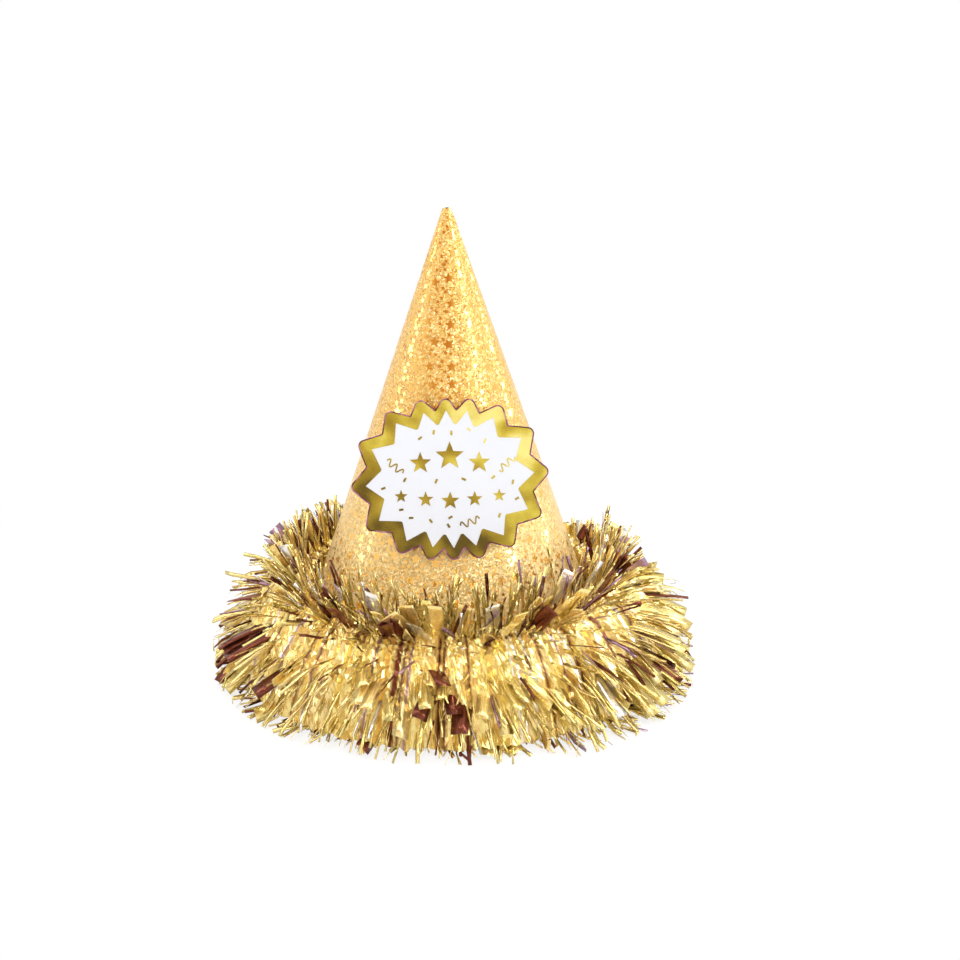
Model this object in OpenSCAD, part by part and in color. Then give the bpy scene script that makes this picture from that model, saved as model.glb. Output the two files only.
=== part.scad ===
// Party hat: a rolled card cone with a die-cut starburst badge on a foam pad,
// and a film tinsel garland glued round the rim. Millimetres, +Z up.
// The origin is on the surface that the tinsel stands on, under the tip.
// The front, where the badge is, looks along -Y.

/* [Cone] */
// Outer diameter of the cone at its rim
base_d = 134; // [120:1:150]
// Height of the card cone from the rim to the cut tip
cone_h = 192; // [170:1:215]
// Outer diameter of the cut tip
tip_d = 3.6; // [3:0.2:6]
// Thickness of the card
wall = 0.5; // [0.4:0.1:0.8]
// Turn over which the outer layer of card laps the inner one
lap_deg = 22; // [16:1:30]
// Angle of the lap's free edge, from the front towards the right
seam_deg = 68; // [40:1:150]
// How far the lap's outer layer stops short of the tip
lap_short = 4; // [2:0.5:10]
// Diameter of the two punched holes for a chin elastic
elastic_hole_d = 3; // [2:0.5:4]
// Height of the elastic holes above the rim, along the card
elastic_hole_rise = 13; // [11:0.5:20]

/* [Stand] */
// Height of the rim above the surface, as the tinsel holds it
rim_lift = 26; // [20:1:30]

/* [Badge] */
// Width over the teeth
badge_w = 87; // [75:1:95]
// Height over the teeth
badge_h = 73.5; // [62:0.5:80]
// Thickness of the badge card
badge_t = 0.8; // [0.5:0.1:1.5]
// Number of teeth
badge_teeth = 16; // [12:1:20]
// Depth of a tooth
tooth_depth = 6.2; // [4:0.2:8]
// Rounding at the tip of a tooth
tooth_round = 2.6; // [1:0.2:3]
// Width of the foil border
border_w = 6; // [4:0.2:8]
// Turn of the teeth in the badge's own plane
teeth_turn = 3.5; // [0:0.5:10]
// How far the teeth are drawn from the sides towards the top and bottom, in degrees
teeth_spread = 11; // [0:1:14]
// Share by which the badge's outline is fuller than an ellipse
fullness = 0.03; // [0:0.01:0.06]
// Thickness of the hot-stamped foil
foil_t = 0.12; // [0.1:0.02:0.3]
// Height of the badge's centre above the rim, along the card
badge_rise = 83; // [78:1:95]
// Thickness of the foam pad where it is thinnest
pad_t = 1.5; // [1:0.1:3]
// Width of the foam pad
pad_w = 16; // [10:1:24]
// Height of the foam pad
pad_h = 42; // [25:1:50]

/* [Tinsel] */
// Diameter of the thread core
core_d = 2.6; // [2:0.2:4]
// Height of the core above the rim
core_rise = 6; // [5:0.5:8]
// Thickness of the wound film over the core
wound_t = 1.6; // [1.4:0.1:2.2]
// Length of a strip from the core to its end
strip_len = 41; // [34:1:48]
// Thickness of the film as modelled
film_t = 0.25; // [0.2:0.05:0.4]
// Width of a fine strip
fine_w = 1.6; // [1.2:0.2:2]
// Width of a wide strip
wide_w = 6; // [4:0.2:6.4]
// Number of lengths of wound film round the hat
turns = 18; // [15:1:20]
// Fine strips in each length
fine_strips = 11; // [8:1:14]
// Wide strips in each length
wide_strips = 4; // [3:1:6]
// Thickness of the glue between the film and the card
glue_t = 0.6; // [0.4:0.1:1]
// Number of glue dabs
glue_dabs = 10; // [6:1:12]

/* [Hidden] */
$fn = 96;

base_r = base_d / 2;
tip_r = tip_d / 2;
// Radius that the cone loses for each millimetre of height
taper = (base_r - tip_r) / cone_h;
half_angle = atan(taper);
// The wall's thickness measured level
wall_level = wall / cos(half_angle);

// Room round the core inside the wound film, and between the film and the glue
film_clear = 0.3;
core_z = rim_lift + core_rise;
wound_r = core_d / 2 + wound_t;
turn_deg = 360 / turns;
// Share of each length of garland that is wide film
wide_share = 0.4;
wide_deg = turn_deg * wide_share;
fine_deg = turn_deg - wide_deg;
// Room between neighbouring lengths of film, at the core
film_gap_deg = 0.25;
// The fan that the strips fill, from nearly straight down to nearly straight up
strip_lowest = -84;
strip_highest = 88;
strip_fan = strip_highest - strip_lowest;
// Share by which strips that hang are longer, and those that stand up are shorter
settled = 0.2;
// The core's ring, so that the wound film sits on the glue outside the card
core_ring_r = outer_r(core_rise) + (wound_r + glue_t + film_clear) / cos(half_angle);

// Outer radius of the card at a height above the rim
function outer_r(rise) = base_r - taper * rise;

// A frustum of the cone's own taper, grown or shrunk sideways
module frustum(grow, bottom, top) {
    translate([0, 0, rim_lift + bottom])
        cylinder(h = top - bottom, r1 = outer_r(bottom) + grow, r2 = outer_r(top) + grow);
}

// A wedge that keeps what lies between two angles, counted from the front towards the right
module wedge(from_deg, to_deg, reach, height) {
    middle = (from_deg + to_deg) / 2;
    side = reach / cos((to_deg - from_deg) / 2);
    linear_extrude(height)
        polygon([[0, 0], for (a = [from_deg, middle, to_deg]) side * [sin(a), -cos(a)]]);
}

// The rolled sheet as a full solid: one round layer, and the lap's outer layer over it
module rolled_card() {
    // Moving the outer layer sideways by this much lifts its free edge by one thickness
    slide = wall_level / sin(lap_deg);
    start_deg = seam_deg - lap_deg;
    frustum(0, 0, cone_h);
    intersection() {
        translate(slide * [sin(start_deg + 90), -cos(start_deg + 90), 0])
            frustum(0, 0, cone_h - lap_short);
        wedge(start_deg + 2, seam_deg, base_r + 2 * slide, rim_lift + cone_h);
    }
}

// The sheet of card, rolled and lapped, with its two punched holes
module cone() {
    color("#f3d283")
    difference() {
        rolled_card();
        frustum(-wall_level, -1, cone_h + 0.2);
        for (side = [-1, 1])
            rotate([0, 0, 90 * side])
                translate([0, -outer_r(elastic_hole_rise * cos(half_angle)),
                    rim_lift + elastic_hole_rise * cos(half_angle)])
                    rotate([90 - half_angle, 0, 0])
                        cylinder(h = 8 * wall, d = elastic_hole_d, center = true);
    }
}

// The badge's plane, with its own origin at the badge's centre, x to the right,
// y up the card and z away from it
module on_badge(lift) {
    rise = badge_rise * cos(half_angle);
    translate([0, -outer_r(rise), rim_lift + rise])
        rotate([90 - half_angle, 0, 0])
            translate([0, 0, lift])
                children();
}

// The sharp starburst, set in by a distance: its tips and valleys by turns
function burst(inset, depth) = [
    for (i = [0 : 2 * badge_teeth - 1])
        let (even = teeth_turn + i * 180 / badge_teeth,
            a = even + teeth_spread * sin(2 * even),
            full = 1 + fullness * pow(sin(2 * a), 2),
            cut = inset + (i % 2) * depth)
            [(badge_w / 2 * full - cut) * cos(a), (badge_h / 2 * full - cut) * sin(a)]
];

// The points of a polygon whose every corner is rounded, by one radius at the
// even corners and by another at the odd ones
function rounded(points, even_r, odd_r) = [
    for (i = [0 : len(points) - 1])
        each corner(points[(i + len(points) - 1) % len(points)], points[i],
            points[(i + 1) % len(points)], i % 2 == 0 ? even_r : odd_r)
];

// One corner as an arc that touches both sides
function corner(before, at, after, radius, steps = 6) =
    let (
        u = (before - at) / norm(before - at),
        v = (after - at) / norm(after - at),
        half = acos(max(-1, min(1, u * v))) / 2,
        middle = (u + v) / norm(u + v),
        centre = at + middle * radius / sin(half),
        first = atan2((at + u * radius / tan(half) - centre)[1], (at + u * radius / tan(half) - centre)[0]),
        last = atan2((at + v * radius / tan(half) - centre)[1], (at + v * radius / tan(half) - centre)[0]),
        sweep = last - first,
        turn = sweep > 180 ? sweep - 360 : sweep < -180 ? sweep + 360 : sweep
    )
    [for (s = [0 : steps]) centre + radius * [cos(first + turn * s / steps), sin(first + turn * s / steps)]];

// The badge's outline: rounded teeth and crisp valleys
module badge_outline() {
    tip_lost = tooth_round * 0.45;
    polygon(rounded(burst(-tip_lost, tooth_depth + tip_lost), tooth_round, 0.5));
}

// The bare white field inside the border: crisp teeth and rounded valleys
module badge_field() {
    polygon(rounded(burst(border_w, tooth_depth + 0.8), 0.25, 1));
}

module badge_card() {
    color("#f4f4f8")
    on_badge(pad_t)
        linear_extrude(badge_t) badge_outline();
}

// A five-pointed star
module star(r) {
    polygon([for (i = [0 : 9]) (i % 2 == 0 ? r : r * 0.42) * [sin(36 * i), cos(36 * i)]]);
}

// A curled paper streamer: a wavy band of one width
module streamer(length, swing, line_w) {
    waves = 2.5;
    steps = 24;
    function at(s) = [length * (s - 0.5), swing * sin(360 * waves * s)];
    function along(s) = let (d = at(s + 0.01) - at(s - 0.01)) d / norm(d);
    function side(s, w) = at(s) + w / 2 * [-along(s)[1], along(s)[0]];
    polygon([for (i = [0 : steps]) side(i / steps, line_w), for (i = [steps : -1 : 0]) side(i / steps, -line_w)]);
}

// The hot-stamped foil: border, stars where a greeting would go, streamers and confetti
module badge_foil() {
    // Places as shares of the badge's half width and half height
    big_stars = [[-0.3, 0.2, 5], [0, 0.28, 6.6], [0.3, 0.2, 5]];
    small_stars = [[-0.5, -0.2, 3], [-0.25, -0.24, 3.6], [0, -0.26, 4.2], [0.25, -0.24, 3.6], [0.5, -0.2, 3]];
    streamers = [[-0.56, 0.16, -40], [0.58, 0.18, 220], [0.2, -0.52, 20]];
    confetti = [[-0.3, 0.5, 40], [-0.16, 0.57, 80], [0.02, 0.56, 90], [0.2, 0.6, -35], [0.36, 0.46, 70],
        [-0.46, 0.0, 60], [-0.14, -0.02, 65], [0.14, 0.0, -25], [0.44, 0.02, 40], [0.64, -0.04, 80],
        [-0.68, -0.1, 20], [-0.4, -0.46, 0], [-0.2, -0.5, -50], [-0.02, -0.56, -60], [0.0, -0.46, 30],
        [0.5, -0.44, 70], [-0.5, -0.36, 10], [0.68, -0.24, 30]];
    function place(spot) = [spot[0] * badge_w / 2, spot[1] * badge_h / 2];
    color("#c9a227")
    on_badge(pad_t + badge_t)
        linear_extrude(foil_t) {
            difference() {
                badge_outline();
                badge_field();
            }
            for (s = concat(big_stars, small_stars))
                translate(place(s)) star(s[2]);
            for (s = streamers)
                translate(place(s)) rotate(s[2]) streamer(9, 1.5, 0.6);
            for (c = confetti)
                translate(place(c)) rotate(c[2]) square([2, 0.95], center = true);
        }
}

// Double-sided foam: flat against the badge and hollowed to the card behind
module badge_pad() {
    color("#e9e6dc")
    difference() {
        on_badge(-pad_t / 2)
            cube([pad_w, pad_h, 3 * pad_t], center = true);
        frustum(0, 0, cone_h);
    }
}

// The thread that the film is wound on
module tinsel_core() {
    color("#b8912e")
    translate([0, 0, core_z])
        rotate_extrude()
            translate([core_ring_r, 0])
                circle(d = core_d, $fn = 32);
}

// Flattened dabs of glue between the card and the wound film
module tinsel_glue() {
    dab_deg = 14;
    dab_h = 2.4;
    color("#efe7cf")
    for (i = [0 : glue_dabs - 1])
        intersection() {
            difference() {
                frustum(glue_t / cos(half_angle), core_rise - dab_h / 2, core_rise + dab_h / 2);
                rolled_card();
            }
            wedge(i * 360 / glue_dabs - dab_deg / 2, i * 360 / glue_dabs + dab_deg / 2,
                base_r + wound_r, rim_lift + cone_h);
        }
}

// One step along a strip in the plane [radius, height]: the strip keeps its
// length, and what would reach below the surface lies out along it
function along(from, deg, length, low) =
    let (drop = max(length * sin(deg), low - from[1]),
        out = sqrt(max(0, length * length - drop * drop)))
        from + [cos(deg) < 0 ? -out : out, drop];

// The four corners of a strip's section at a point: across is its offset round
// the ring, deg the way the strip runs, and twist the turn of its width
function section(point, across, deg, width, twist) =
    let (wide = width / 2 * [cos(twist), sin(twist)],
        thin = film_t / 2 * [-sin(twist), cos(twist)])
    [for (s = [[-1, -1], [1, -1], [1, 1], [-1, 1]])
        let (c = s[0] * wide + s[1] * thin)
            [point[0] - c[1] * sin(deg), across + c[0], point[1] + c[1] * cos(deg)]];

// A strip of film in the plane of its own place on the ring: x is out from the
// hat's axis, y is round the ring, and across and end_across are its two ends there.
// Its neck stands square on the wound film, and the rest runs the strip's own way.
module strip(neck_deg, deg, length, width, across, end_across, twist, droop) {
    low = 0.2 + width / 2 * abs(sin(twist[1]));
    centre = [core_ring_r, core_z];
    root = centre + (core_d / 2 + film_clear + wound_t / 3) * [cos(neck_deg), sin(neck_deg)];
    neck = centre + (wound_r + 1) * [cos(neck_deg), sin(neck_deg)];
    knee = along(neck, deg, length * 0.4, low + 1);
    end = along(knee, max(deg - droop, -86), length * 0.6 - wound_r, low);
    bent = atan2(end[1] - knee[1], end[0] - knee[0]);
    rings = concat(
        section(root, across, neck_deg, width * 0.8, 0),
        section(neck, across, neck_deg, width * 0.8, 0),
        section(knee, (across + end_across) / 2, (deg + bent) / 2, width, twist[0]),
        section(end, end_across, bent, width, twist[1]));
    // Both wide sides are split along the same diagonal, so a twist can't cross them
    sides = [for (r = [0 : 2], c = [0 : 3])
        let (a = 4 * r + c, b = 4 * r + (c + 1) % 4)
            each c == 2 ? [[b, a, a + 4], [b, a + 4, b + 4]] : [[b, a, b + 4], [b + 4, a, a + 4]]];
    polyhedron(rings, concat(sides, [[1, 2, 3], [0, 1, 3], [14, 13, 12], [15, 14, 12]]));
}

// The film's middle, wound round the core between two angles, and bored for it:
// a straight piece with one flat side for each strip and a few at the back
module wound(span_deg, strips) {
    front = [for (s = [0 : strips]) strip_lowest + strip_fan * s / strips];
    back_sides = 6;
    back = [for (s = [1 : back_sides - 1]) strip_highest + (360 - strip_fan) * s / back_sides];
    outline = [for (a = concat(front, back)) wound_r * [cos(a), sin(a)]];
    reach = core_ring_r * tan(span_deg / 2) + wound_r;
    bore_r = (core_d / 2 + film_clear) / cos(180 / 8);
    difference() {
        intersection() {
            hull()
                for (side = [-1, 1])
                    translate([core_ring_r, side * reach, core_z])
                        rotate([90, 0, 0])
                            linear_extrude(0.2, center = true) polygon(outline);
            wedge(90 - span_deg / 2, 90 + span_deg / 2, 2 * core_ring_r, core_z + 2 * wound_r);
        }
        // The bore lies half way between the core's arc and its tangent
        translate([core_ring_r * (1 + cos(span_deg / 2)) / 2, 0, core_z])
            rotate([90, 0, 0])
                cylinder(h = 4 * reach, r = bore_r, center = true, $fn = 8);
    }
}

// Lengths of wound film with strips that stand out of them at every angle
// from straight down to straight up, each within its own length's wedge
module film(shift_deg, span_deg, strips, width, twist_most, seed) {
    function room(r) = max(0, r * tan(span_deg / 2) - width / 2 - 0.3);
    draws = 7;
    chance = rands(0, 1, turns * strips * draws, seed);
    for (t = [0 : turns - 1])
        rotate([0, 0, t * turn_deg + shift_deg - 90]) {
            wound(span_deg - film_gap_deg, strips);
            for (s = [0 : strips - 1]) {
                c = [for (k = [0 : draws - 1]) chance[(t * strips + s) * draws + k]];
                neck_deg = strip_lowest + strip_fan * (s + 0.5) / strips;
                deg = neck_deg + strip_fan / strips * 0.6 * (c[0] - 0.5);
                length = strip_len * (0.86 + 0.18 * c[1]) * (1 - settled * sin(deg));
                // Strips stand by turns at the left, the middle and the right of their length
                column = ((s + t) % 3 - 1) * 0.65;
                place = column + 0.4 * (c[2] - 0.5);
                end_place = column + 0.4 * (c[3] - 0.5);
                end_r = core_ring_r + length * min(cos(deg), 0.8);
                strip(neck_deg, deg, length, width, place * room(core_ring_r), end_place * room(end_r),
                    twist_most * [2 * c[4] - 1, 2 * c[5] - 1], 8 + 24 * c[6]);
            }
        }
}

module tinsel_fine_film() {
    color("#d9b23c")
    film(0, fine_deg, fine_strips, fine_w, 70, 58);
}

module tinsel_wide_film() {
    color("#b98a1e")
    film(turn_deg / 2, wide_deg, wide_strips, wide_w, 45, 8);
}

cone();
badge_card();
badge_foil();
badge_pad();
tinsel_core();
tinsel_fine_film();
tinsel_wide_film();
tinsel_glue();
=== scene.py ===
# %% [markdown]
# # A card party hat with a tinsel rim
# The hat is a sheet of card rolled into a cone, a die-cut badge on a foam pad, and a
# film garland glued round the rim. This lesson dresses the solid model of it: the solids
# give every size and place, and each step below gives one piece or one finish its looks.
# All lengths are in metres, and the front of the hat looks along -Y.

# %% Load the frame
import math

import bpy
import numpy as np
from mathutils import Matrix, Vector


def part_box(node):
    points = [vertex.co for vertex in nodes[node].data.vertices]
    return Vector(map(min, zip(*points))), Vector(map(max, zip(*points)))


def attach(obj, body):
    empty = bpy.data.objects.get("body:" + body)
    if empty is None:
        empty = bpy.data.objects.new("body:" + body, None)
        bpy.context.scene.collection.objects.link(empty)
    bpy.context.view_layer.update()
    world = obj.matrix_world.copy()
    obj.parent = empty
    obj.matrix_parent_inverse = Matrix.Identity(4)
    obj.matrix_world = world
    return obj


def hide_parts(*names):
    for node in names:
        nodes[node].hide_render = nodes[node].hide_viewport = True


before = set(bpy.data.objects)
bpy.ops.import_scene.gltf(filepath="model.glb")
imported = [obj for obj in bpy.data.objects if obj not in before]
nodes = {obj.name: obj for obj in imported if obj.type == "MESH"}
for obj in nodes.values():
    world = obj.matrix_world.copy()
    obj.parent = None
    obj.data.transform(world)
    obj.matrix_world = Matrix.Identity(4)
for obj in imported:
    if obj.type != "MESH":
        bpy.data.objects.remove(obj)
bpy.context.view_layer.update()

MM = 0.001
print("nodes:", sorted(nodes))

# %% [markdown]
# The places that later steps need come from the boxes of the solids, so nothing is
# measured twice: the cone's rim, tip and taper, and the ring of the garland's thread.

# %% Sizes from the solids
cone_low, cone_high = (Vector(corner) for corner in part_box("cone"))
core_low, core_high = (Vector(corner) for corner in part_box("tinsel_core"))
RIM_Z = cone_low.z
TIP_Z = cone_high.z
RIM_R = -cone_low.x
TIP_R = 1.8 * MM
CARD = 0.5 * MM
TAPER = (RIM_R - TIP_R) / (TIP_Z - RIM_Z)
HALF_ANGLE = math.atan(TAPER)
CORE_Z = (core_low.z + core_high.z) / 2
THREAD_R = (core_high.z - core_low.z) / 2
CORE_R = core_high.x - THREAD_R
print(f"rim {RIM_R / MM:.1f} at {RIM_Z / MM:.1f}, tip at {TIP_Z / MM:.1f}, core ring {CORE_R / MM:.1f} mm")


# %% [markdown]
# Every material below is a network of nodes. Writing each node, its settings and its
# links by hand takes four lines, so a small helper does it in one: it adds a node, sets
# its inputs by name, and links whatever is another node's output.

# %% A helper for node networks
def add_node(tree, kind, inputs=None, **settings):
    node = tree.nodes.new(kind)
    for name, value in settings.items():
        setattr(node, name, value)
    for key, value in (inputs or {}).items():
        socket = node.inputs[key]
        if isinstance(value, bpy.types.NodeSocket):
            tree.links.new(value, socket)
        else:
            socket.default_value = value
    return node


def math_node(tree, operation, a, b=None, c=None):
    values = {i: v for i, v in enumerate((a, b, c)) if v is not None}
    return add_node(tree, "ShaderNodeMath", values, operation=operation).outputs[0]


def vector_node(tree, operation, a, b=None, **more):
    values = {i: v for i, v in enumerate((a, b)) if v is not None}
    node = add_node(tree, "ShaderNodeVectorMath", {**values, **more}, operation=operation)
    return node.outputs["Value" if operation in ("LENGTH", "DOT_PRODUCT", "DISTANCE") else "Vector"]


def ramp_node(tree, factor, stops):
    node = add_node(tree, "ShaderNodeValToRGB", {"Fac": factor})
    while len(node.color_ramp.elements) < len(stops):
        node.color_ramp.elements.new(1.0)
    for element, (place, colour) in zip(node.color_ramp.elements, stops):
        element.position = place
        element.color = (*colour, 1.0)
    return node.outputs["Color"]


def principled(material):
    """Gives a material one bare Principled shader."""
    material.use_nodes = True
    tree = material.node_tree
    tree.nodes.clear()
    shader = add_node(tree, "ShaderNodeBsdfPrincipled")
    add_node(tree, "ShaderNodeOutputMaterial", {"Surface": shader.outputs[0]})
    return tree, shader


def new_material(name):
    material = bpy.data.materials.new(name)
    return material, *principled(material)


print("helpers ready")

# %% [markdown]
# Gold foil has no colour of its own: it shows its surroundings, tinted. In the photograph
# the stars are orange on a band left of the cone's middle, where they show a dim warm part
# of the room behind the camera, and pale or white elsewhere, where they show lamps and
# walls. So the world is bright all round but for one dim window, given by its direction
# and width. The white that the camera itself sees comes from the light path.

# %% The room
DIM_DEG, DIM_HALF_DEG = -25, 44
DIM_UP_DEG, DIM_HALF_UP_DEG = 28, 12
DIM_EDGE = 0.35
world = bpy.data.worlds.new("studio")
bpy.context.scene.world = world
world.use_nodes = True
room = world.node_tree
room.nodes.clear()
direction = add_node(room, "ShaderNodeTexCoord").outputs["Generated"]
axes = add_node(room, "ShaderNodeSeparateXYZ", {0: direction}).outputs


def within(tree, angle, middle_deg, half_deg):
    """One near an angle, and nought away from it, with a soft edge."""
    off = math_node(tree, "ABSOLUTE", math_node(tree, "SUBTRACT", angle, math.radians(middle_deg)))
    half = math.radians(half_deg)
    return add_node(tree, "ShaderNodeMapRange", {
        "Value": off, "From Min": half * (1 - DIM_EDGE), "From Max": half * (1 + DIM_EDGE),
        "To Min": 1.0, "To Max": 0.0}, interpolation_type="SMOOTHSTEP").outputs[0]


turn = math_node(room, "ARCTAN2", axes["X"], math_node(room, "MULTIPLY", axes["Y"], -1.0))
rise = math_node(room, "ARCSINE", axes["Z"])
dim = math_node(room, "MULTIPLY", within(room, turn, DIM_DEG, DIM_HALF_DEG),
                within(room, rise, DIM_UP_DEG, DIM_HALF_UP_DEG))
room_light = ramp_node(room, dim, [
    (0.0, (1.0, 0.99, 0.98)),
    (0.5, (0.84, 0.68, 0.44)),
    (1.0, (0.60, 0.29, 0.07)),
])
path = add_node(room, "ShaderNodeLightPath").outputs
room_shader = add_node(room, "ShaderNodeBackground", {"Color": room_light, "Strength": 0.98})
white_shader = add_node(room, "ShaderNodeBackground", {"Color": (1, 1, 1, 1), "Strength": 1.0})
seen = add_node(room, "ShaderNodeMixShader", {
    "Fac": path["Is Camera Ray"], 1: room_shader.outputs[0], 2: white_shader.outputs[0]})
add_node(room, "ShaderNodeOutputWorld", {"Surface": seen.outputs[0]})
bpy.context.scene.view_settings.view_transform = "Standard"
print("room ready")


# %% [markdown]
# Large lamps give soft light and broad reflections. A cone turns each of them into an
# upright bright strip: the tall one at the front right makes the white strip of stars in
# the photograph, and the ones at either side make paler strips near the cone's edges. Four
# small lamps above make the garland glint, and one behind lights the back.

# %% The lamps
def add_lamp(name, place, size, power):
    data = bpy.data.lights.new(name, "AREA")
    data.shape = "RECTANGLE"
    data.size, data.size_y = size
    data.energy = power
    lamp = bpy.data.objects.new(name, data)
    bpy.context.scene.collection.objects.link(lamp)
    lamp.location = place
    lamp.rotation_euler = (HAT_MIDDLE - Vector(place)).to_track_quat("-Z", "Y").to_euler()


HAT_MIDDLE = Vector((0, 0, 0.1))
TOP_PLACES = ((0.1, -0.75, 1.15), (-0.65, -0.55, 0.95), (0.7, -0.4, 1.0), (0.0, -0.15, 1.4))
add_lamp("front_right", (0.96, -0.54, 0.36), (0.16, 0.9), 6)
add_lamp("side_right", (1.05, 0.3, 0.4), (0.2, 0.9), 3)
add_lamp("side_left", (-1.0, 0.05, 0.45), (0.3, 0.9), 3)
for number, place in enumerate(TOP_PLACES):
    add_lamp(f"top_{number + 1}", place, (0.26, 0.26), 2.1)
add_lamp("back", (-0.2, 1.2, 0.9), (1.2, 0.6), 4)

# %% [markdown]
# The floor is plain white and keeps a soft shadow. Near the hat, four fifths of what the
# camera sees of it is plain white, and the rest is the lit floor, which holds the shadow.
# Further out all of it is plain.

# %% The floor
bpy.ops.mesh.primitive_plane_add(size=12, location=(0, 0, 0))
floor = bpy.context.object
floor.name = "floor"
floor_material = bpy.data.materials.new("white_floor")
floor_material.use_nodes = True
tree = floor_material.node_tree
tree.nodes.clear()
path = add_node(tree, "ShaderNodeLightPath").outputs
direct = math_node(tree, "MAXIMUM", path["Is Camera Ray"],
                   math_node(tree, "MAXIMUM", path["Is Glossy Ray"], path["Is Transmission Ray"]))
lit = add_node(tree, "ShaderNodeBsdfDiffuse", {"Color": (0.9, 0.9, 0.9, 1)})
plain = add_node(tree, "ShaderNodeEmission", {"Color": (1, 1, 1, 1), "Strength": 1.0})
away = vector_node(tree, "LENGTH", add_node(tree, "ShaderNodeTexCoord").outputs["Object"])
plainness = add_node(tree, "ShaderNodeMapRange", {"Value": away, "From Min": 0.1, "From Max": 0.32, "To Min": 0.8},
                     interpolation_type="SMOOTHSTEP").outputs[0]
share = math_node(tree, "MULTIPLY", direct, plainness)
mixed = add_node(tree, "ShaderNodeMixShader", {"Fac": share, 1: lit.outputs[0], 2: plain.outputs[0]})
add_node(tree, "ShaderNodeOutputMaterial", {"Surface": mixed.outputs[0]})
floor.data.materials.append(floor_material)
print("floor", floor.dimensions[:2])

# %% [markdown]
# The camera stands where the photograph was taken: 0.9 m away, 21 degrees above level,
# looking at a point a little below the middle of the badge. The hat stands slightly left
# of the picture's middle and leans by less than a degree, which the shift and roll give.

# %% The camera
CAMERA_AWAY = 0.9
CAMERA_UP = math.radians(21)
FOCAL_PX = 1928
PICTURE_PX = 960
AIM = Vector((0, 0, RIM_Z + 62.7 * MM))
HAT_LEFT_PX = 30
ROLL = math.radians(-0.7)
camera_data = bpy.data.cameras.new("camera")
camera_data.sensor_width = 36
camera_data.lens = 36 * FOCAL_PX / PICTURE_PX
camera_data.shift_x = HAT_LEFT_PX / PICTURE_PX
camera = bpy.data.objects.new("camera", camera_data)
bpy.context.scene.collection.objects.link(camera)
camera.location = AIM + CAMERA_AWAY * Vector((0, -math.cos(CAMERA_UP), math.sin(CAMERA_UP)))
looking = (AIM - camera.location).to_track_quat("-Z", "Y").to_matrix()
camera.rotation_euler = (looking @ Matrix.Rotation(ROLL, 3, "Z")).to_euler()
bpy.context.scene.camera = camera
print("camera at", [round(x, 3) for x in camera.location])

# %% [markdown]
# The cone is one sheet of card, rolled so that its outer edge laps the inner one. It
# could be a plain cone, but then the lap's free edge, which shows at the tip, would be
# missing. So one straight line from the rim to the tip is spun round the axis by a full
# turn and the lap. The line comes from a plane of which one side is kept.

# %% The line that is spun
LAP_DEG = 22
SEAM_DEG = 68
TURN_DEG = 360 + LAP_DEG
SPIN_STEPS = 191
ROWS = 12
LAP_SHORT = 4 * MM


def deselect_all():
    if bpy.context.mode != "OBJECT":
        bpy.ops.object.mode_set(mode="OBJECT")
    bpy.ops.object.select_all(action="DESELECT")


def start_edit(piece):
    deselect_all()
    bpy.context.view_layer.objects.active = piece
    piece.select_set(True)
    bpy.ops.object.mode_set(mode="EDIT")


def select_where(piece, kind, test):
    """Selects a piece's vertices, edges or faces by a test, and ends in edit mode."""
    start_edit(piece)
    bpy.ops.mesh.select_mode(type=kind)
    bpy.ops.mesh.select_all(action="DESELECT")
    bpy.ops.object.mode_set(mode="OBJECT")
    parts = {"VERT": piece.data.vertices, "EDGE": piece.data.edges, "FACE": piece.data.polygons}[kind]
    for part in parts:
        part.select = bool(test(part))
    bpy.ops.object.mode_set(mode="EDIT")


def on_circle(radius, deg, z):
    """A point at an angle counted from the front towards the right."""
    turn = math.radians(deg - 90)
    return Vector((radius * math.cos(turn), radius * math.sin(turn), z))


deselect_all()
bpy.ops.mesh.primitive_plane_add(size=1)
cone = bpy.context.object
cone.name = "cone_card"
select_where(cone, "VERT", lambda v: v.co.x > 0)
bpy.ops.mesh.delete(type="VERT")
bpy.ops.object.mode_set(mode="OBJECT")
START_DEG = SEAM_DEG - TURN_DEG
lap_top = (TIP_R + TAPER * LAP_SHORT, TIP_Z - LAP_SHORT)
cone.data.vertices[0].co = on_circle(RIM_R, START_DEG, RIM_Z)
cone.data.vertices[1].co = on_circle(lap_top[0], START_DEG, lap_top[1])
start_edit(cone)
bpy.ops.mesh.select_all(action="SELECT")
bpy.ops.mesh.subdivide(number_cuts=ROWS - 1)
select_where(cone, "VERT", lambda v: v.co.z > lap_top[1] - 1e-6)
to_tip = on_circle(TIP_R, START_DEG, TIP_Z) - on_circle(lap_top[0], START_DEG, lap_top[1])
bpy.ops.mesh.extrude_region_move(TRANSFORM_OT_translate={"value": to_tip})
bpy.ops.object.mode_set(mode="OBJECT")
line_count = len(cone.data.vertices)
print("points on the line:", line_count)

# %% [markdown]
# The spin adds a copy of the line at each step, in order, so a vertex's number tells how
# far the sheet has been rolled there. That angle gives two things. Over the lap the outer
# layer moves out and the inner one in, by their share of one thickness of card. And the
# sheet as it was printed flat is a fan, so the angle and the distance from the apex give
# each point's place in the flat print, which is the piece's UV map, in metres.

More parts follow.
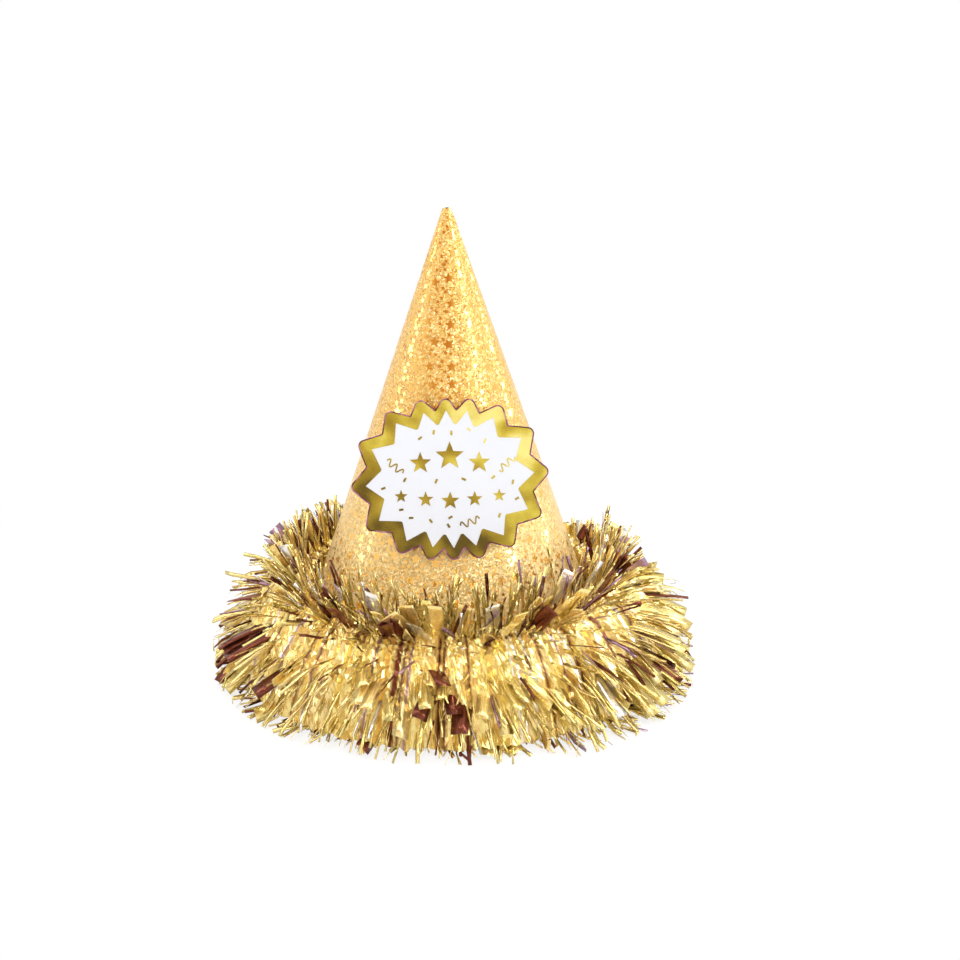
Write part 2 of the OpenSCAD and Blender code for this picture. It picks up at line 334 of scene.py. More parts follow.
# %% Roll the sheet and lay out its print
start_edit(cone)
bpy.ops.mesh.select_all(action="SELECT")
bpy.ops.mesh.spin(steps=SPIN_STEPS, angle=math.radians(TURN_DEG), use_auto_merge=False,
                  center=(0, 0, 0), axis=(0, 0, -1))
bpy.ops.object.mode_set(mode="OBJECT")
mesh = cone.data
points = np.empty(len(mesh.vertices) * 3)
mesh.vertices.foreach_get("co", points)
points = points.reshape(-1, 3)
rolled_deg = START_DEG + (np.arange(len(points)) // line_count) * (TURN_DEG / SPIN_STEPS)
seen_deg = np.degrees(np.arctan2(points[:, 1], points[:, 0])) + 90
wrong = np.abs((seen_deg - rolled_deg + 180) % 360 - 180).max()
radius = np.hypot(points[:, 0], points[:, 1])
from_apex = radius / math.sin(HALF_ANGLE)
fan = np.radians(rolled_deg) * math.sin(HALF_ANGLE)
flat = np.stack([from_apex * np.sin(fan), -from_apex * np.cos(fan)], 1)
lap = np.clip((rolled_deg - (SEAM_DEG - LAP_DEG)) / LAP_DEG, 0, 1)
under = np.clip((SEAM_DEG - 360 - rolled_deg) / LAP_DEG, 0, 1)
moved = (radius + (lap - under) * CARD / math.cos(HALF_ANGLE)) / radius
points[:, :2] *= moved[:, None]
mesh.vertices.foreach_set("co", points.ravel())
uv = mesh.uv_layers.new(name="flat_print")
loop_vertex = np.empty(len(mesh.loops), dtype=np.int32)
mesh.loops.foreach_get("vertex_index", loop_vertex)
uv.data.foreach_set("uv", flat[loop_vertex].astype(np.float32).ravel())
mesh.update()
print(f"rolled {TURN_DEG} degrees in {SPIN_STEPS} steps, angles agree to {wrong:.4f}")

# %% [markdown]
# The outer layer stops 4 mm short of the tip, so its last faces are deleted. Then the
# sheet gets its thickness, inwards, because the solid's size is its outer face. A second
# material goes on the inside and the cut edges, where the bare board shows. The two
# punched holes for a chin elastic are cut last.

# %% Give the card its thickness and holes
card_inner = bpy.data.materials.new("bare_card")
card_print = bpy.data.materials.new("star_foil_print")
first_lap = (TURN_DEG - LAP_DEG) / TURN_DEG * SPIN_STEPS * line_count
select_where(cone, "FACE", lambda f: min(f.vertices) >= first_lap - 1 and f.center.z > lap_top[1])
bpy.ops.mesh.delete(type="FACE")
bpy.ops.object.mode_set(mode="OBJECT")
outward = sum(f.normal.dot(Vector((f.center.x, f.center.y, 0)).normalized()) for f in mesh.polygons)
if outward < 0:
    start_edit(cone)
    bpy.ops.mesh.select_all(action="SELECT")
    bpy.ops.mesh.flip_normals()
    bpy.ops.object.mode_set(mode="OBJECT")
mesh.materials.append(card_print)
mesh.materials.append(card_inner)


def apply_modifier(piece, kind, **settings):
    deselect_all()
    bpy.context.view_layer.objects.active = piece
    piece.select_set(True)
    modifier = piece.modifiers.new(kind.lower(), kind)
    for name, value in settings.items():
        setattr(modifier, name, value)
    bpy.ops.object.modifier_apply(modifier=modifier.name)


def smooth_by_angle(piece, deg):
    deselect_all()
    bpy.context.view_layer.objects.active = piece
    piece.select_set(True)
    bpy.ops.object.shade_smooth_by_angle(angle=math.radians(deg))


apply_modifier(cone, "SOLIDIFY", thickness=CARD, offset=-1, material_offset=1, material_offset_rim=1)
HOLE_RISE = 13 * MM
for side in (-90, 90):
    hole_z = RIM_Z + HOLE_RISE * math.cos(HALF_ANGLE)
    centre = on_circle(RIM_R - HOLE_RISE * math.sin(HALF_ANGLE), side, hole_z)
    axis = on_circle(math.cos(HALF_ANGLE), side, math.sin(HALF_ANGLE))
    deselect_all()
    bpy.ops.mesh.primitive_cylinder_add(vertices=32, radius=1.5 * MM, depth=8 * MM, location=centre,
                                        rotation=axis.to_track_quat("Z", "Y").to_euler())
    punch = bpy.context.object
    apply_modifier(cone, "BOOLEAN", object=punch, operation="DIFFERENCE")
    bpy.data.objects.remove(punch)
smooth_by_angle(cone, 30)
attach(cone, "root")
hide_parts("cone")
print("cone:", len(mesh.polygons), "faces")

# %% [markdown]
# The print is gold glitter with foil stars, large ones spaced out and small ones packed
# between, all with a point towards the tip. An image could hold it, but it would be fixed
# in sharpness. Instead the flat sheet is cut into square cells, each with one star at a
# random place. A star's edge is found by folding the plane into one tenth of it, from a
# point to a valley.

# %% Stars from cells
def cell_of(tree, flat_place, cell, jitter, shift):
    """The middle of the star in the cell round a place, and that cell's random numbers."""
    scaled = vector_node(tree, "SCALE", flat_place, Scale=1 / cell)
    shifted = vector_node(tree, "ADD", scaled, (shift, shift, 0))
    corner = vector_node(tree, "FLOOR", shifted)
    chance = add_node(tree, "ShaderNodeTexWhiteNoise", {"Vector": corner}, noise_dimensions="2D").outputs
    offset = vector_node(tree, "SUBTRACT", chance["Color"], (0.5, 0.5, 0.5))
    offset = vector_node(tree, "MULTIPLY", offset, (jitter, jitter, 0))
    middle = vector_node(tree, "ADD", vector_node(tree, "ADD", corner, (0.5, 0.5, 0)), offset)
    middle = vector_node(tree, "SUBTRACT", middle, (shift, shift, 0))
    return vector_node(tree, "SCALE", middle, Scale=cell), chance


def star_distance(tree, flat_place, middle, chance, radius, valley=0.45, sway=0.5):
    """How far a place is outside the star's edge, as a share of the star's radius."""
    local = vector_node(tree, "SUBTRACT", flat_place, middle)
    local = vector_node(tree, "SCALE", local, Scale=1 / radius)
    angle = math_node(tree, "MULTIPLY_ADD", chance["Value"], sway, -math.tau / 4 - sway / 2)
    local = add_node(tree, "ShaderNodeVectorRotate", {"Vector": local, "Angle": angle},
                     rotation_type="Z_AXIS").outputs[0]
    away = vector_node(tree, "LENGTH", local)
    axes = add_node(tree, "ShaderNodeSeparateXYZ", {0: local}).outputs
    theta = math_node(tree, "ARCTAN2", axes[1], axes[0])
    fold = math_node(tree, "FLOORED_MODULO", math_node(tree, "ADD", theta, math.tau * 1.1), math.tau / 5)
    fold = math_node(tree, "ABSOLUTE", math_node(tree, "SUBTRACT", fold, math.tau / 10))
    along = math_node(tree, "MULTIPLY", away, math_node(tree, "COSINE", fold))
    across = math_node(tree, "MULTIPLY", away, math_node(tree, "SINE", fold))
    edge = Vector((valley * math.cos(math.tau / 10) - 1, valley * math.sin(math.tau / 10)))
    edge.normalize()
    from_tip = math_node(tree, "MULTIPLY", math_node(tree, "SUBTRACT", along, 1.0), edge.y)
    return math_node(tree, "MULTIPLY_ADD", across, -edge.x, from_tip)


print("star helpers ready")

# %% [markdown]
# The stars are smooth foil, so they mirror the lamps and the dark of the room by turns
# round the cone. The ground between them is glitter: a mosaic of grains about half a
# millimetre across, each tilted its own way and tinted orange, yellow, green or cream. It
# turns paler towards the rim, which is painted light: it stands for the light that the
# white floor throws up onto the lower cone.

# %% The printed card
BIG_CELL = (9.6 * MM, 0.44, 3.3)
BIG_STAR_R, SMALL_STAR_R = 2.7 * MM, 1.2 * MM
SMALL_CELL, SMALL_JITTER, SMALL_SHIFTS = 4.7 * MM, 0.5, (11.0, 24.5)
CLEAR_OF_BIG = 3.2 * MM
GRAIN = 0.55 * MM
PAINTED_LIGHT_FROM, PAINTED_LIGHT_TO = 110 * MM, 185 * MM


def star_card_material(material):
    tree, shader = principled(material)
    place = add_node(tree, "ShaderNodeUVMap", uv_map="flat_print").outputs[0]
    big_middle, chance = cell_of(tree, place, *BIG_CELL)
    stars = math_node(tree, "LESS_THAN", star_distance(tree, place, big_middle, chance, BIG_STAR_R), 0.0)
    for shift in SMALL_SHIFTS:
        middle, chance = cell_of(tree, place, SMALL_CELL, SMALL_JITTER, shift)
        small = math_node(tree, "LESS_THAN", star_distance(tree, place, middle, chance, SMALL_STAR_R), 0.0)
        near_middle = cell_of(tree, middle, *BIG_CELL)[0]
        apart = vector_node(tree, "DISTANCE", middle, near_middle)
        clear = math_node(tree, "GREATER_THAN", apart, CLEAR_OF_BIG)
        stars = math_node(tree, "MAXIMUM", stars, math_node(tree, "MULTIPLY", small, clear))

    grain = add_node(tree, "ShaderNodeTexVoronoi", {"Vector": place, "Scale": 1 / GRAIN},
                     voronoi_dimensions="2D").outputs
    pick = add_node(tree, "ShaderNodeSeparateColor", {0: grain["Color"]}).outputs
    grain_tint = ramp_node(tree, pick[0], [
        (0.0, (0.46, 0.20, 0.03)),
        (0.2, (0.62, 0.34, 0.07)),
        (0.5, (0.70, 0.42, 0.11)),
        (0.74, (0.78, 0.50, 0.17)),
        (0.88, (0.64, 0.50, 0.14)),
        (1.0, (0.95, 0.80, 0.50)),
    ])
    # Painted light: the ground turns paler towards the rim, for the light thrown up by the white floor.
    low = add_node(tree, "ShaderNodeMapRange", {
        "Value": vector_node(tree, "LENGTH", place), "From Min": PAINTED_LIGHT_FROM, "From Max": PAINTED_LIGHT_TO,
        "To Max": 0.42}).outputs[0]
    grain_tint = add_node(tree, "ShaderNodeMix", {"Factor": low, 6: grain_tint, 7: (0.95, 0.86, 0.50, 1)},
                          data_type="RGBA").outputs[2]
    tint = add_node(tree, "ShaderNodeMix", {"Factor": stars, 6: grain_tint, 7: (1.0, 0.60, 0.17, 1)},
                    data_type="RGBA").outputs[2]
    rough = add_node(tree, "ShaderNodeMapRange", {"Value": stars, "To Min": 0.42, "To Max": 0.14}).outputs[0]
    metal = add_node(tree, "ShaderNodeMapRange", {"Value": stars, "To Min": 0.45, "To Max": 1.0}).outputs[0]
    tilt = vector_node(tree, "SUBTRACT", grain["Color"], (0.5, 0.5, 0.5))
    amount = add_node(tree, "ShaderNodeMapRange", {"Value": stars, "To Min": 0.75, "To Max": 0.03}).outputs[0]
    tilt = vector_node(tree, "SCALE", tilt, Scale=amount)
    normal = add_node(tree, "ShaderNodeNewGeometry").outputs["Normal"]
    normal = vector_node(tree, "NORMALIZE", vector_node(tree, "ADD", normal, tilt))
    for name, value in {"Base Color": tint, "Roughness": rough, "Metallic": metal, "Normal": normal}.items():
        tree.links.new(value, shader.inputs[name])


star_card_material(card_print)
print("printed card:", len(card_print.node_tree.nodes), "nodes")

# %% [markdown]
# Bare greyboard shows inside the cone and along its cut edges: short fibres, slightly
# darker here and there, with no gloss. Two noises, one stretched, give it on Object
# coordinates, so that the same finish works on any piece of board.

# %% Bare board, badge board and foam
def board(material, light, dark, roughness, fibre=0.25 * MM, bump=0.15):
    tree, shader = principled(material)
    shader.inputs["Roughness"].default_value = roughness
    place = add_node(tree, "ShaderNodeTexCoord").outputs["Object"]
    stretched = add_node(tree, "ShaderNodeMapping", {"Vector": place, "Scale": (1, 1, 0.25)}).outputs[0]
    fine = add_node(tree, "ShaderNodeTexNoise", {"Vector": stretched, "Scale": 1 / fibre, "Detail": 3}).outputs[0]
    broad = add_node(tree, "ShaderNodeTexNoise", {"Vector": place, "Scale": 60, "Detail": 2}).outputs[0]
    mix = math_node(tree, "MULTIPLY_ADD", fine, 0.6, math_node(tree, "MULTIPLY", broad, 0.4))
    tree.links.new(ramp_node(tree, mix, [(0.35, dark), (0.62, light)]), shader.inputs["Base Color"])
    relief = add_node(tree, "ShaderNodeBump", {"Height": fine, "Strength": bump, "Distance": 0.05 * MM})
    tree.links.new(relief.outputs[0], shader.inputs["Normal"])
    return material


board(card_inner, (0.82, 0.80, 0.76), (0.66, 0.63, 0.58), 0.8)
badge_white = board(bpy.data.materials.new("badge_board"), (0.60, 0.63, 0.69), (0.57, 0.60, 0.66), 0.4, bump=0.04)
foam = board(bpy.data.materials.new("foam_pad"), (0.85, 0.84, 0.80), (0.60, 0.59, 0.55), 0.9, 0.5 * MM, 0.9)
glue = board(bpy.data.materials.new("dried_glue"), (0.80, 0.74, 0.58), (0.62, 0.55, 0.40), 0.35, 1.5 * MM, 0.4)
thread = board(bpy.data.materials.new("twisted_thread"), (0.62, 0.42, 0.12), (0.30, 0.17, 0.04), 0.6, 0.4 * MM, 0.8)


def dress(node, material):
    """Gives a solid its material, in the slots that it came with."""
    for place in nodes[node].material_slots:
        place.material = material


dress("badge_card", badge_white)
dress("badge_pad", foam)
dress("tinsel_glue", glue)
dress("tinsel_core", thread)
print("boards ready")

# %% [markdown]
# Hot-stamped foil is a mirror that never lies quite flat on board. On the real badge it
# shows a bright wall at the upper right and dark ones at the lower left. That reflection
# is painted into the colour, which runs from pale yellow to olive brown across the badge,
# with soft waves in between. The painted reflection is a ramp on the badge's own width and
# height; a broad noise bends it, and a fine one gives the board's grain below.

# %% Stamped foil with a painted reflection
badge_low, badge_high = (Vector(corner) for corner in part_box("badge_card"))
badge_middle = (badge_low + badge_high) / 2
badge_size = badge_high - badge_low


def foil(name, stops, roughness):
    material, tree, shader = new_material(name)
    place = add_node(tree, "ShaderNodeTexCoord").outputs["Object"]
    broad = add_node(tree, "ShaderNodeTexNoise", {"Vector": place, "Scale": 1 / (11 * MM), "Detail": 1}).outputs[0]
    fine = add_node(tree, "ShaderNodeTexNoise", {"Vector": place, "Scale": 1 / (0.6 * MM), "Detail": 2}).outputs[0]
    across = vector_node(tree, "SUBTRACT", place, tuple(badge_middle))
    across = vector_node(tree, "DOT_PRODUCT", across, (0.45 / badge_size.x, 0, 0.6 / badge_size.z))
    bent = math_node(tree, "MULTIPLY_ADD", math_node(tree, "SUBTRACT", broad, 0.5), 1.2, 0.5)
    speck = math_node(tree, "MULTIPLY", math_node(tree, "SUBTRACT", fine, 0.5), 0.25)
    painted_reflection_run = math_node(tree, "ADD", math_node(tree, "ADD", across, bent), speck)
    # This ramp is a painted reflection: its colour stands for the bright and dark walls that the foil mirrors.
    tree.links.new(ramp_node(tree, painted_reflection_run, stops), shader.inputs["Base Color"])
    shader.inputs["Metallic"].default_value = 0.55
    shader.inputs["Roughness"].default_value = roughness
    height = math_node(tree, "MULTIPLY_ADD", fine, 0.04, broad)
    relief = add_node(tree, "ShaderNodeBump", {"Height": height, "Strength": 0.3, "Distance": 0.4 * MM})
    tree.links.new(relief.outputs[0], shader.inputs["Normal"])
    return material


# Painted reflection: olive brown where the foil would show dark walls, pale yellow where it would show the bright
# one.
badge_gold_painted_reflection = foil("stamped_gold_painted_reflection", [
    (0.1, (0.12, 0.08, 0.01)),
    (0.34, (0.32, 0.23, 0.02)),
    (0.52, (0.45, 0.34, 0.04)),
    (0.70, (0.66, 0.57, 0.08)),
    (0.90, (0.93, 0.87, 0.30)),
], 0.24)
dress("badge_foil", badge_gold_painted_reflection)
print("foil ready, badge", [round(x / MM, 1) for x in badge_size])

# %% [markdown]
# Round the badge runs a thin dark purple line, which is painted shade: it stands for the
# card's cut edge in shadow. Its course is the rim of the badge card's front face, so a
# copy of the card gives it: its points are merged, all but the rim is deleted, and the
# rim becomes a curve with a round section, and then a mesh.

# %% The badge's cut edge, a line of painted shade
CUT_EDGE_R = 0.34 * MM
badge_out = Vector((0, -math.cos(HALF_ANGLE), math.sin(HALF_ANGLE)))
card = nodes["badge_card"]
edge = bpy.data.objects.new("badge_edge", card.data.copy())
bpy.context.scene.collection.objects.link(edge)
edge.matrix_world = card.matrix_world.copy()
deselect_all()
edge.select_set(True)
bpy.context.view_layer.objects.active = edge
bpy.ops.object.transform_apply(location=True, rotation=True, scale=True)
edge.data.materials.clear()
start_edit(edge)
bpy.ops.mesh.select_all(action="SELECT")
bpy.ops.mesh.remove_doubles(threshold=0.01 * MM)
select_where(edge, "FACE", lambda f: f.normal.dot(badge_out) > 0.99)
bpy.ops.mesh.region_to_loop()
bpy.ops.mesh.select_all(action="INVERT")
bpy.ops.mesh.delete(type="EDGE_FACE")
bpy.ops.mesh.select_all(action="SELECT")
bpy.ops.mesh.delete_loose(use_verts=True, use_edges=False, use_faces=False)
bpy.ops.object.mode_set(mode="OBJECT")
bpy.ops.object.convert(target="CURVE")
edge = bpy.context.object
edge.data.bevel_depth = CUT_EDGE_R
edge.data.bevel_resolution = 1
bpy.ops.object.convert(target="MESH")
edge = bpy.context.object
edge.name = "badge_edge"
edge_painted_shade, tree, shader = new_material("cut_edge_painted_shade")
place = add_node(tree, "ShaderNodeTexCoord").outputs["Object"]
patch = add_node(tree, "ShaderNodeTexNoise", {"Vector": place, "Scale": 1 / (4 * MM), "Detail": 1}).outputs[0]
# The dark purple colour is painted shade along the badge's cut edge.
edge_shade_stops = [(0.4, (0.09, 0.02, 0.03)), (0.55, (0.26, 0.06, 0.20)), (0.7, (0.50, 0.26, 0.30))]
tree.links.new(ramp_node(tree, patch, edge_shade_stops), shader.inputs["Base Color"])
shader.inputs["Metallic"].default_value = 0.6
shader.inputs["Roughness"].default_value = 0.35
edge.data.materials.append(edge_painted_shade)
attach(edge, "root")
print("badge edge:", len(edge.data.polygons), "faces")

# %% [markdown]
# The garland is thousands of slit film strands caught in a twisted thread. Curves or a
# hair system could draw them, but a piece of the model has to be a mesh. So one strand is
# modelled straight, by extruding a flat triangle step by step, and each copy is bent
# along a course of its own. The flat triangle gives each strand a faint ridge, which
# breaks its reflection in two, as the curl of real film does.

# %% One straight strand
STEPS = 6


def straight_strand(name, steps):
    """A closed strip along x, one unit to a step, one unit wide and one unit thick."""
    deselect_all()
    bpy.ops.mesh.primitive_circle_add(vertices=3, radius=1, fill_type="NGON")
    strip = bpy.context.object
    strip.name = name
    for vertex, (y, z) in zip(strip.data.vertices, ((-0.5, 0), (0.5, 0), (0, 1))):
        vertex.co = (0, y, z)
    for _ in range(steps):
        last = max(v.co.x for v in strip.data.vertices)
        select_where(strip, "FACE", lambda f: f.center.x > last - 0.1 and abs(f.normal.x) > 0.9)
        bpy.ops.mesh.extrude_region_move(TRANSFORM_OT_translate={"value": (1, 0, 0)})
        bpy.ops.object.mode_set(mode="OBJECT")
    start_edit(strip)
    bpy.ops.mesh.select_all(action="SELECT")
    bpy.ops.mesh.normals_make_consistent(inside=False)
    bpy.ops.object.mode_set(mode="OBJECT")
    return strip


strand = straight_strand("strand_pattern", STEPS)
print("strand:", len(strand.data.vertices), "points,", len(strand.data.polygons), "faces")

# %% [markdown]
# A strand leaves the thread in its own direction, leaning a little to one side. From there
# it walks in short steps: at each one it droops a little, wanders, and twists. It is
# pushed out of the card and stays above the table, on which the lowest strands come to
# lie. Its flat side looks out of the garland, as the film's neighbours press it flat. The
# garland has settled: what hangs is combed out long over the table, what stands leans on
# the card and is short, most of all at the back, and little film points straight out.
# The front right and the back left lie out a little further than the rest.

# %% The course of a strand
CARD_GAP = 0.5 * MM
REACH = 114 * MM
SKEW_REACH = 6 * MM
BOX_REACH = 113 * MM
BACK_SHORTER, BACK_RIGHT_SHORTER = 0.6, 0.2
SIDE_LONGER, SKEW_LONGER = 0.14, 0.14
LEAST_Z = 0.15 * MM
FAN_DEG = (-90, -30, 0, 40, 90)
FAN_LENGTH = (50, 50, 36, 24, 37)


def unit(vectors):
    return vectors / np.maximum(np.linalg.norm(vectors, axis=-1, keepdims=True), 1e-12)


def courses(rng, up_deg, lengths=(0.86, 1.12), lean_deg=14, droop=0.08, wander=0.06, twist=0.3, loose=0.55,
            root=(1.2, 3.0), steps=STEPS, half_w=1.05 * MM):
    """Centre points, width directions and thickness directions, one course for each of up_deg."""
    count = len(up_deg)
    ring = rng.uniform(0, math.tau, count)
    up = np.radians(up_deg)
    lean = np.radians(rng.normal(0, lean_deg, count))
    radial = np.stack([np.cos(ring), np.sin(ring), 0 * ring], 1)
    tangent = np.stack([-np.sin(ring), np.cos(ring), 0 * ring], 1)
    upward = np.array([0.0, 0.0, 1.0])
    heading = unit(np.cos(up)[:, None] * radial + np.sin(up)[:, None] * upward + np.tan(lean)[:, None] * tangent)
    start = radial * CORE_R + upward * CORE_Z + heading * rng.uniform(*root, count)[:, None] * MM
    full = np.interp(up_deg, FAN_DEG, FAN_LENGTH) * rng.uniform(*lengths, count)
    at_back = np.clip(np.sin(ring), 0, 1) * np.clip(np.sin(up), 0, 1)
    at_side = np.cos(ring) ** 2 * (up_deg < 0)
    skew = np.clip(-np.sin(2 * ring), 0, 1)
    back_right = np.clip(np.sin(2 * ring), 0, 1) * (np.sin(ring) > 0)
    reach = REACH + SKEW_REACH * skew
    share = 1 - BACK_SHORTER * at_back + SIDE_LONGER * at_side + SKEW_LONGER * skew - BACK_RIGHT_SHORTER * back_right
    step = (full * MM * share / steps)[:, None]
    side = unit(np.cross(heading, np.cross(tangent + rng.normal(0, loose, (count, 3)), heading)))
    turn = rng.normal(0, twist, count)
    centres, sides, thicks = [start], [side], [np.cross(heading, side)]
    place = start
    for _ in range(steps):
        heading = heading + rng.normal(0, wander, (count, 3)) - rng.uniform(0, droop, count)[:, None] * upward
        following = place + unit(heading) * step
        height = following[:, 2]
        least = np.where(height > RIM_Z, RIM_R - TAPER * (height - RIM_Z), RIM_R - 1 * MM) + CARD_GAP
        away = np.hypot(following[:, 0], following[:, 1])
        following[:, :2] *= (np.clip(away, least, reach) / away)[:, None]
        following[:, :2] = np.clip(following[:, :2], -BOX_REACH, BOX_REACH)
        following[:, 2] = np.maximum(height, 0.3 * MM + half_w * np.minimum(np.abs(side[:, 2]) + 0.3, 1))
        heading = unit(following - place)
        side = unit(side - (side * heading).sum(1, keepdims=True) * heading)
        angle = turn + rng.normal(0, twist * 0.5, count)
        side = unit(side * np.cos(angle)[:, None] + np.cross(heading, side) * np.sin(angle)[:, None])
        place = following
        centres.append(place)
        sides.append(side)
        thicks.append(np.cross(heading, side))
    return [np.stack(rows, 1) for rows in (centres, sides, thicks)]


def bend_copies(name, pattern, course, widths, thicks, tints):
    """One mesh of many bent copies of a straight strand, each with a tint of its own."""
    centres, side_ways, thick_ways = course
    count = len(centres)
    flat = np.array([v.co for v in pattern.data.vertices])
    at = np.rint(flat[:, 0]).astype(int)
    points = centres[:, at] + side_ways[:, at] * (flat[None, :, 1] * widths[:, None])[:, :, None] \
        + thick_ways[:, at] * (flat[None, :, 2] * thicks[:, None])[:, :, None]
    points[:, :, 2] = np.maximum(points[:, :, 2], LEAST_Z)
    sizes = np.array([len(p.vertices) for p in pattern.data.polygons])
    corners = np.concatenate([np.array(p.vertices) for p in pattern.data.polygons])
    shift = (np.arange(count) * len(flat))[:, None]
    loops = (corners[None, :] + shift).ravel()
    sizes = np.tile(sizes, count)
    mesh = bpy.data.meshes.new(name)
    mesh.vertices.add(points.shape[0] * points.shape[1])
    mesh.vertices.foreach_set("co", points.ravel())
    mesh.loops.add(len(loops))
    mesh.loops.foreach_set("vertex_index", loops)
    mesh.polygons.add(len(sizes))
    mesh.polygons.foreach_set("loop_start", np.concatenate([[0], np.cumsum(sizes)[:-1]]))
    mesh.update(calc_edges=True)
    tint = mesh.attributes.new("tint", "FLOAT_COLOR", "POINT")
    colours = np.concatenate([tints, np.ones((count, 1))], 1)
    tint.data.foreach_set("color", np.repeat(colours, len(flat), axis=0).astype(np.float32).ravel())
    piece = bpy.data.objects.new(name, mesh)
    bpy.context.scene.collection.objects.link(piece)
    triangles = int((sizes - 2).sum())
    print(name, count, "copies,", triangles, "triangles")
    return piece


print("course helpers ready")

# %% [markdown]
# Metallised film is a mirror with a tint. Most strands are gold, and now and then one is
# brown, mauve or white, as the film's back is. Its reflection is blurred only slightly,
# and a fine noise along it stands for its creases: it bends the surface, and it darkens
# the colour a little as painted shade in the creases. A quarter of its light is scattered
# instead, as by creases too fine to model.

# %% Film
def film(name, roughness):
    material, tree, shader = new_material(name)
    tint = add_node(tree, "ShaderNodeAttribute", attribute_name="tint").outputs["Color"]
    place = add_node(tree, "ShaderNodeTexCoord").outputs["Object"]
    crease = add_node(tree, "ShaderNodeTexNoise", {"Vector": place, "Scale": 1 / (2.5 * MM), "Detail": 2}).outputs[0]
    # The crease noise also darkens the colour slightly: painted shade in the creases.
    shade = add_node(tree, "ShaderNodeMapRange", {
        "Value": crease, "From Min": 0.3, "From Max": 0.7, "To Min": 0.93}).outputs[0]
    colour = vector_node(tree, "SCALE", tint, Scale=shade)
    tree.links.new(colour, shader.inputs["Base Color"])
    shader.inputs["Metallic"].default_value = 0.75
    shader.inputs["Roughness"].default_value = roughness
    relief = add_node(tree, "ShaderNodeBump", {"Height": crease, "Strength": 0.5, "Distance": 0.3 * MM})
    tree.links.new(relief.outputs[0], shader.inputs["Normal"])
    return material


gold_film = film("gold_film", 0.24)
GOLD = np.array([1.0, 0.80, 0.31])
ODD_TINTS = ((0, 0.6, (0.20, 0.055, 0.03)), (0.6, 0.75, (0.45, 0.27, 0.36)), (0.75, 1, (0.95, 0.93, 0.88)))


def tints(rng, count, odd):
    """Gold with some spread, and now and then a brown, mauve or white one."""
    shade = GOLD * rng.uniform(0.93, 1.0, (count, 1)) + rng.normal(0, 0.02, (count, 3))
    draw = rng.random(count)
    for low, high, colour in ODD_TINTS:
        chosen = (draw > low * odd) & (draw <= high * odd)
        shade[chosen] = colour
    return np.clip(shade, 0.01, 1)


print("film ready")

# %% [markdown]
# The fringe is three meshes: two layers that hang and spread, of which the second is
# shorter, and one that stands against the card. A fourth mesh is the crumpled film round
# the thread: short pieces that wander far more, any way round.

# %% The fringe
def strips(name, pattern, count, seed, up_deg, widths, thicks, odd, slot, **how):
    """One mesh of bent film strips that rides on the hat."""
    rng = np.random.default_rng(seed)
    course = courses(rng, up_deg(rng, count), **how)
    piece = bend_copies(name, pattern, course, rng.uniform(*widths, count) * MM,
                        rng.uniform(*thicks, count) * MM, tints(rng, count, odd))
    piece.data.materials.append(gold_film)
    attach(piece, "root")
    return piece


def hanging(rng, count):
    return np.where(rng.random(count) < 0.85, rng.triangular(-88, -38, 12, count), rng.uniform(0, 50, count))


def standing(rng, count):
    return rng.triangular(38, 80, 90, count)


def all_round(rng, count):
    return rng.uniform(-70, 85, count)


FINE_W, FINE_T = (0.8, 2.1), (0.05, 0.2)
fringe = strips("fringe_low", strand, 1300, 100, hanging, FINE_W, FINE_T, 0.18, "fine_film")
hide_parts("tinsel_fine_film")
strips("fringe_spread", strand, 700, 101, hanging, FINE_W, FINE_T, 0.18, "fine_film", lengths=(0.6, 1.0))
strips("fringe_high", strand, 650, 102, standing, FINE_W, FINE_T, 0.2, "fine_film", lean_deg=9)
strips("crumpled_film", strand, 1500, 7, all_round, (0.6, 1.6), (0.08, 0.3), 0.12, "fine_film", lengths=(0.15, 0.32),
       lean_deg=40, wander=0.5, twist=0.9, loose=3.0, root=(8, 14))
bpy.data.objects.remove(strand)

# %% [markdown]
# Under the outer strands the film lies so tightly that no light gets through. A pleated
# body stands for that inner mass. Its section, a closed outline that leans on the card
# and spreads out to the table, is spun round the hat. Each pleat is moved and tinted by
# chance, and the body is shaded flat, so that between the strands it looks like more film.

# %% The packed film
PACKED_SECTION = ((66.5, 42), (75, 44), (85, 39), (95, 25), (103, 3), (86, 1.5), (68, 1.5), (67.5, 22))
PLEATS = 430
deselect_all()
bpy.ops.mesh.primitive_circle_add(vertices=len(PACKED_SECTION), radius=1)
packed = bpy.context.object
packed.name = "packed_film"
for vertex, (r, z) in zip(packed.data.vertices, PACKED_SECTION):
    vertex.co = (r * MM, 0, z * MM)
start_edit(packed)
bpy.ops.mesh.select_all(action="SELECT")
bpy.ops.mesh.subdivide(number_cuts=6)
bpy.ops.mesh.spin(steps=PLEATS, angle=math.tau, use_auto_merge=True, center=(0, 0, 0), axis=(0, 0, 1))
bpy.ops.mesh.select_all(action="SELECT")
bpy.ops.mesh.remove_doubles(threshold=0.01 * MM)
bpy.ops.mesh.normals_make_consistent(inside=False)
bpy.ops.object.mode_set(mode="OBJECT")
rng = np.random.default_rng(5)
mesh = packed.data
points = np.empty(len(mesh.vertices) * 3)
mesh.vertices.foreach_get("co", points)
points = points.reshape(-1, 3)
pleat = np.rint(np.arctan2(points[:, 1], points[:, 0]) / math.tau * PLEATS).astype(int) % PLEATS
height = points[:, 2]
out = rng.normal(0, 0.9, PLEATS)[pleat] + rng.normal(0, 0.35, len(points))
away = np.hypot(points[:, 0], points[:, 1])
least = np.where(height > RIM_Z, RIM_R - TAPER * (height - RIM_Z), RIM_R) + CARD_GAP
moved = np.maximum(away + out * MM, least)
points[:, :2] *= (moved / away)[:, None]
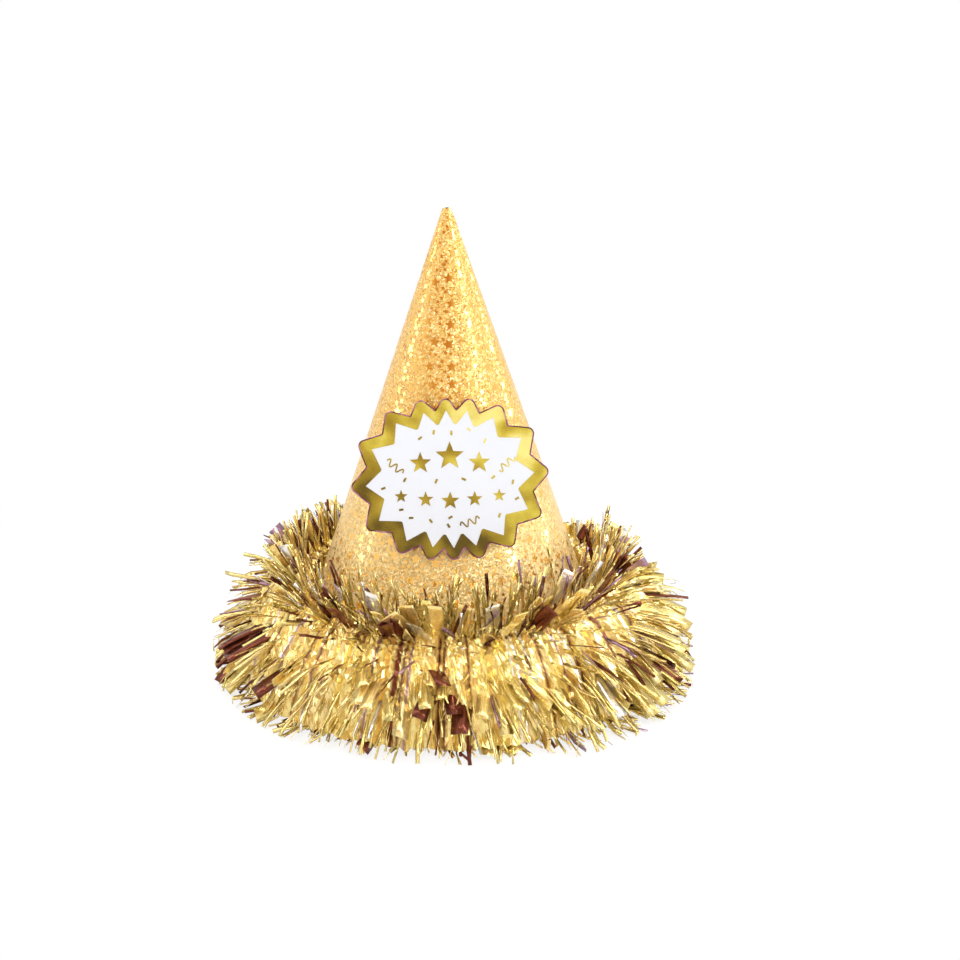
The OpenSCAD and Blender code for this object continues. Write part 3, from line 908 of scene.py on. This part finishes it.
points[:, 2] = np.maximum(height + rng.normal(0, 0.6, len(points)) * MM, 0.3 * MM)
mesh.vertices.foreach_set("co", points.ravel())
shades = np.concatenate([tints(rng, PLEATS, 0.15)[pleat], np.ones((len(points), 1))], 1)
mesh.attributes.new("tint", "FLOAT_COLOR", "POINT").data.foreach_set("color", shades.astype(np.float32).ravel())
mesh.materials.append(gold_film)
mesh.update()
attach(packed, "root")
print("packed film:", len(mesh.polygons), "faces")

# %% [markdown]
# Wider strips of the same film are caught among the strands, with square cut ends. A
# strip is a grid with a thickness, two faces wide, so that it can curl like a gutter.
# They leave the thread a little further out than the fine ones, so they lie on top.

# %% The wide strips
WIDE_STEPS = 8
deselect_all()
bpy.ops.mesh.primitive_grid_add(x_subdivisions=WIDE_STEPS, y_subdivisions=2, size=1)
band = bpy.context.object
band.name = "band_pattern"
for vertex in band.data.vertices:
    vertex.co.x = (vertex.co.x + 0.5) * WIDE_STEPS
    vertex.co.z = 0 if abs(vertex.co.y) > 0.1 else 1
apply_modifier(band, "SOLIDIFY", thickness=0.12, offset=0)
for vertex in band.data.vertices:
    vertex.co.x = round(vertex.co.x)
WIDE_W, WIDE_T = (5.4, 7.4), (0.15, 0.5)
HOW_WIDE = {"wander": 0.03, "twist": 0.09, "loose": 0.18, "root": (4, 9), "steps": WIDE_STEPS,
            "lengths": (0.75, 0.95), "half_w": 3.4 * MM}


def wide_hanging(rng, count):
    return rng.triangular(-45, -10, 15, count)


def wide_standing(rng, count):
    return rng.triangular(38, 64, 82, count)


wide = strips("wide_strips_low", band, 150, 21, wide_hanging, WIDE_W, WIDE_T, 0.35, "wide_film", **HOW_WIDE)
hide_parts("tinsel_wide_film")
strips("wide_strips_high", band, 105, 22, wide_standing, WIDE_W, WIDE_T, 0.45, "wide_film", **HOW_WIDE)
bpy.data.objects.remove(band)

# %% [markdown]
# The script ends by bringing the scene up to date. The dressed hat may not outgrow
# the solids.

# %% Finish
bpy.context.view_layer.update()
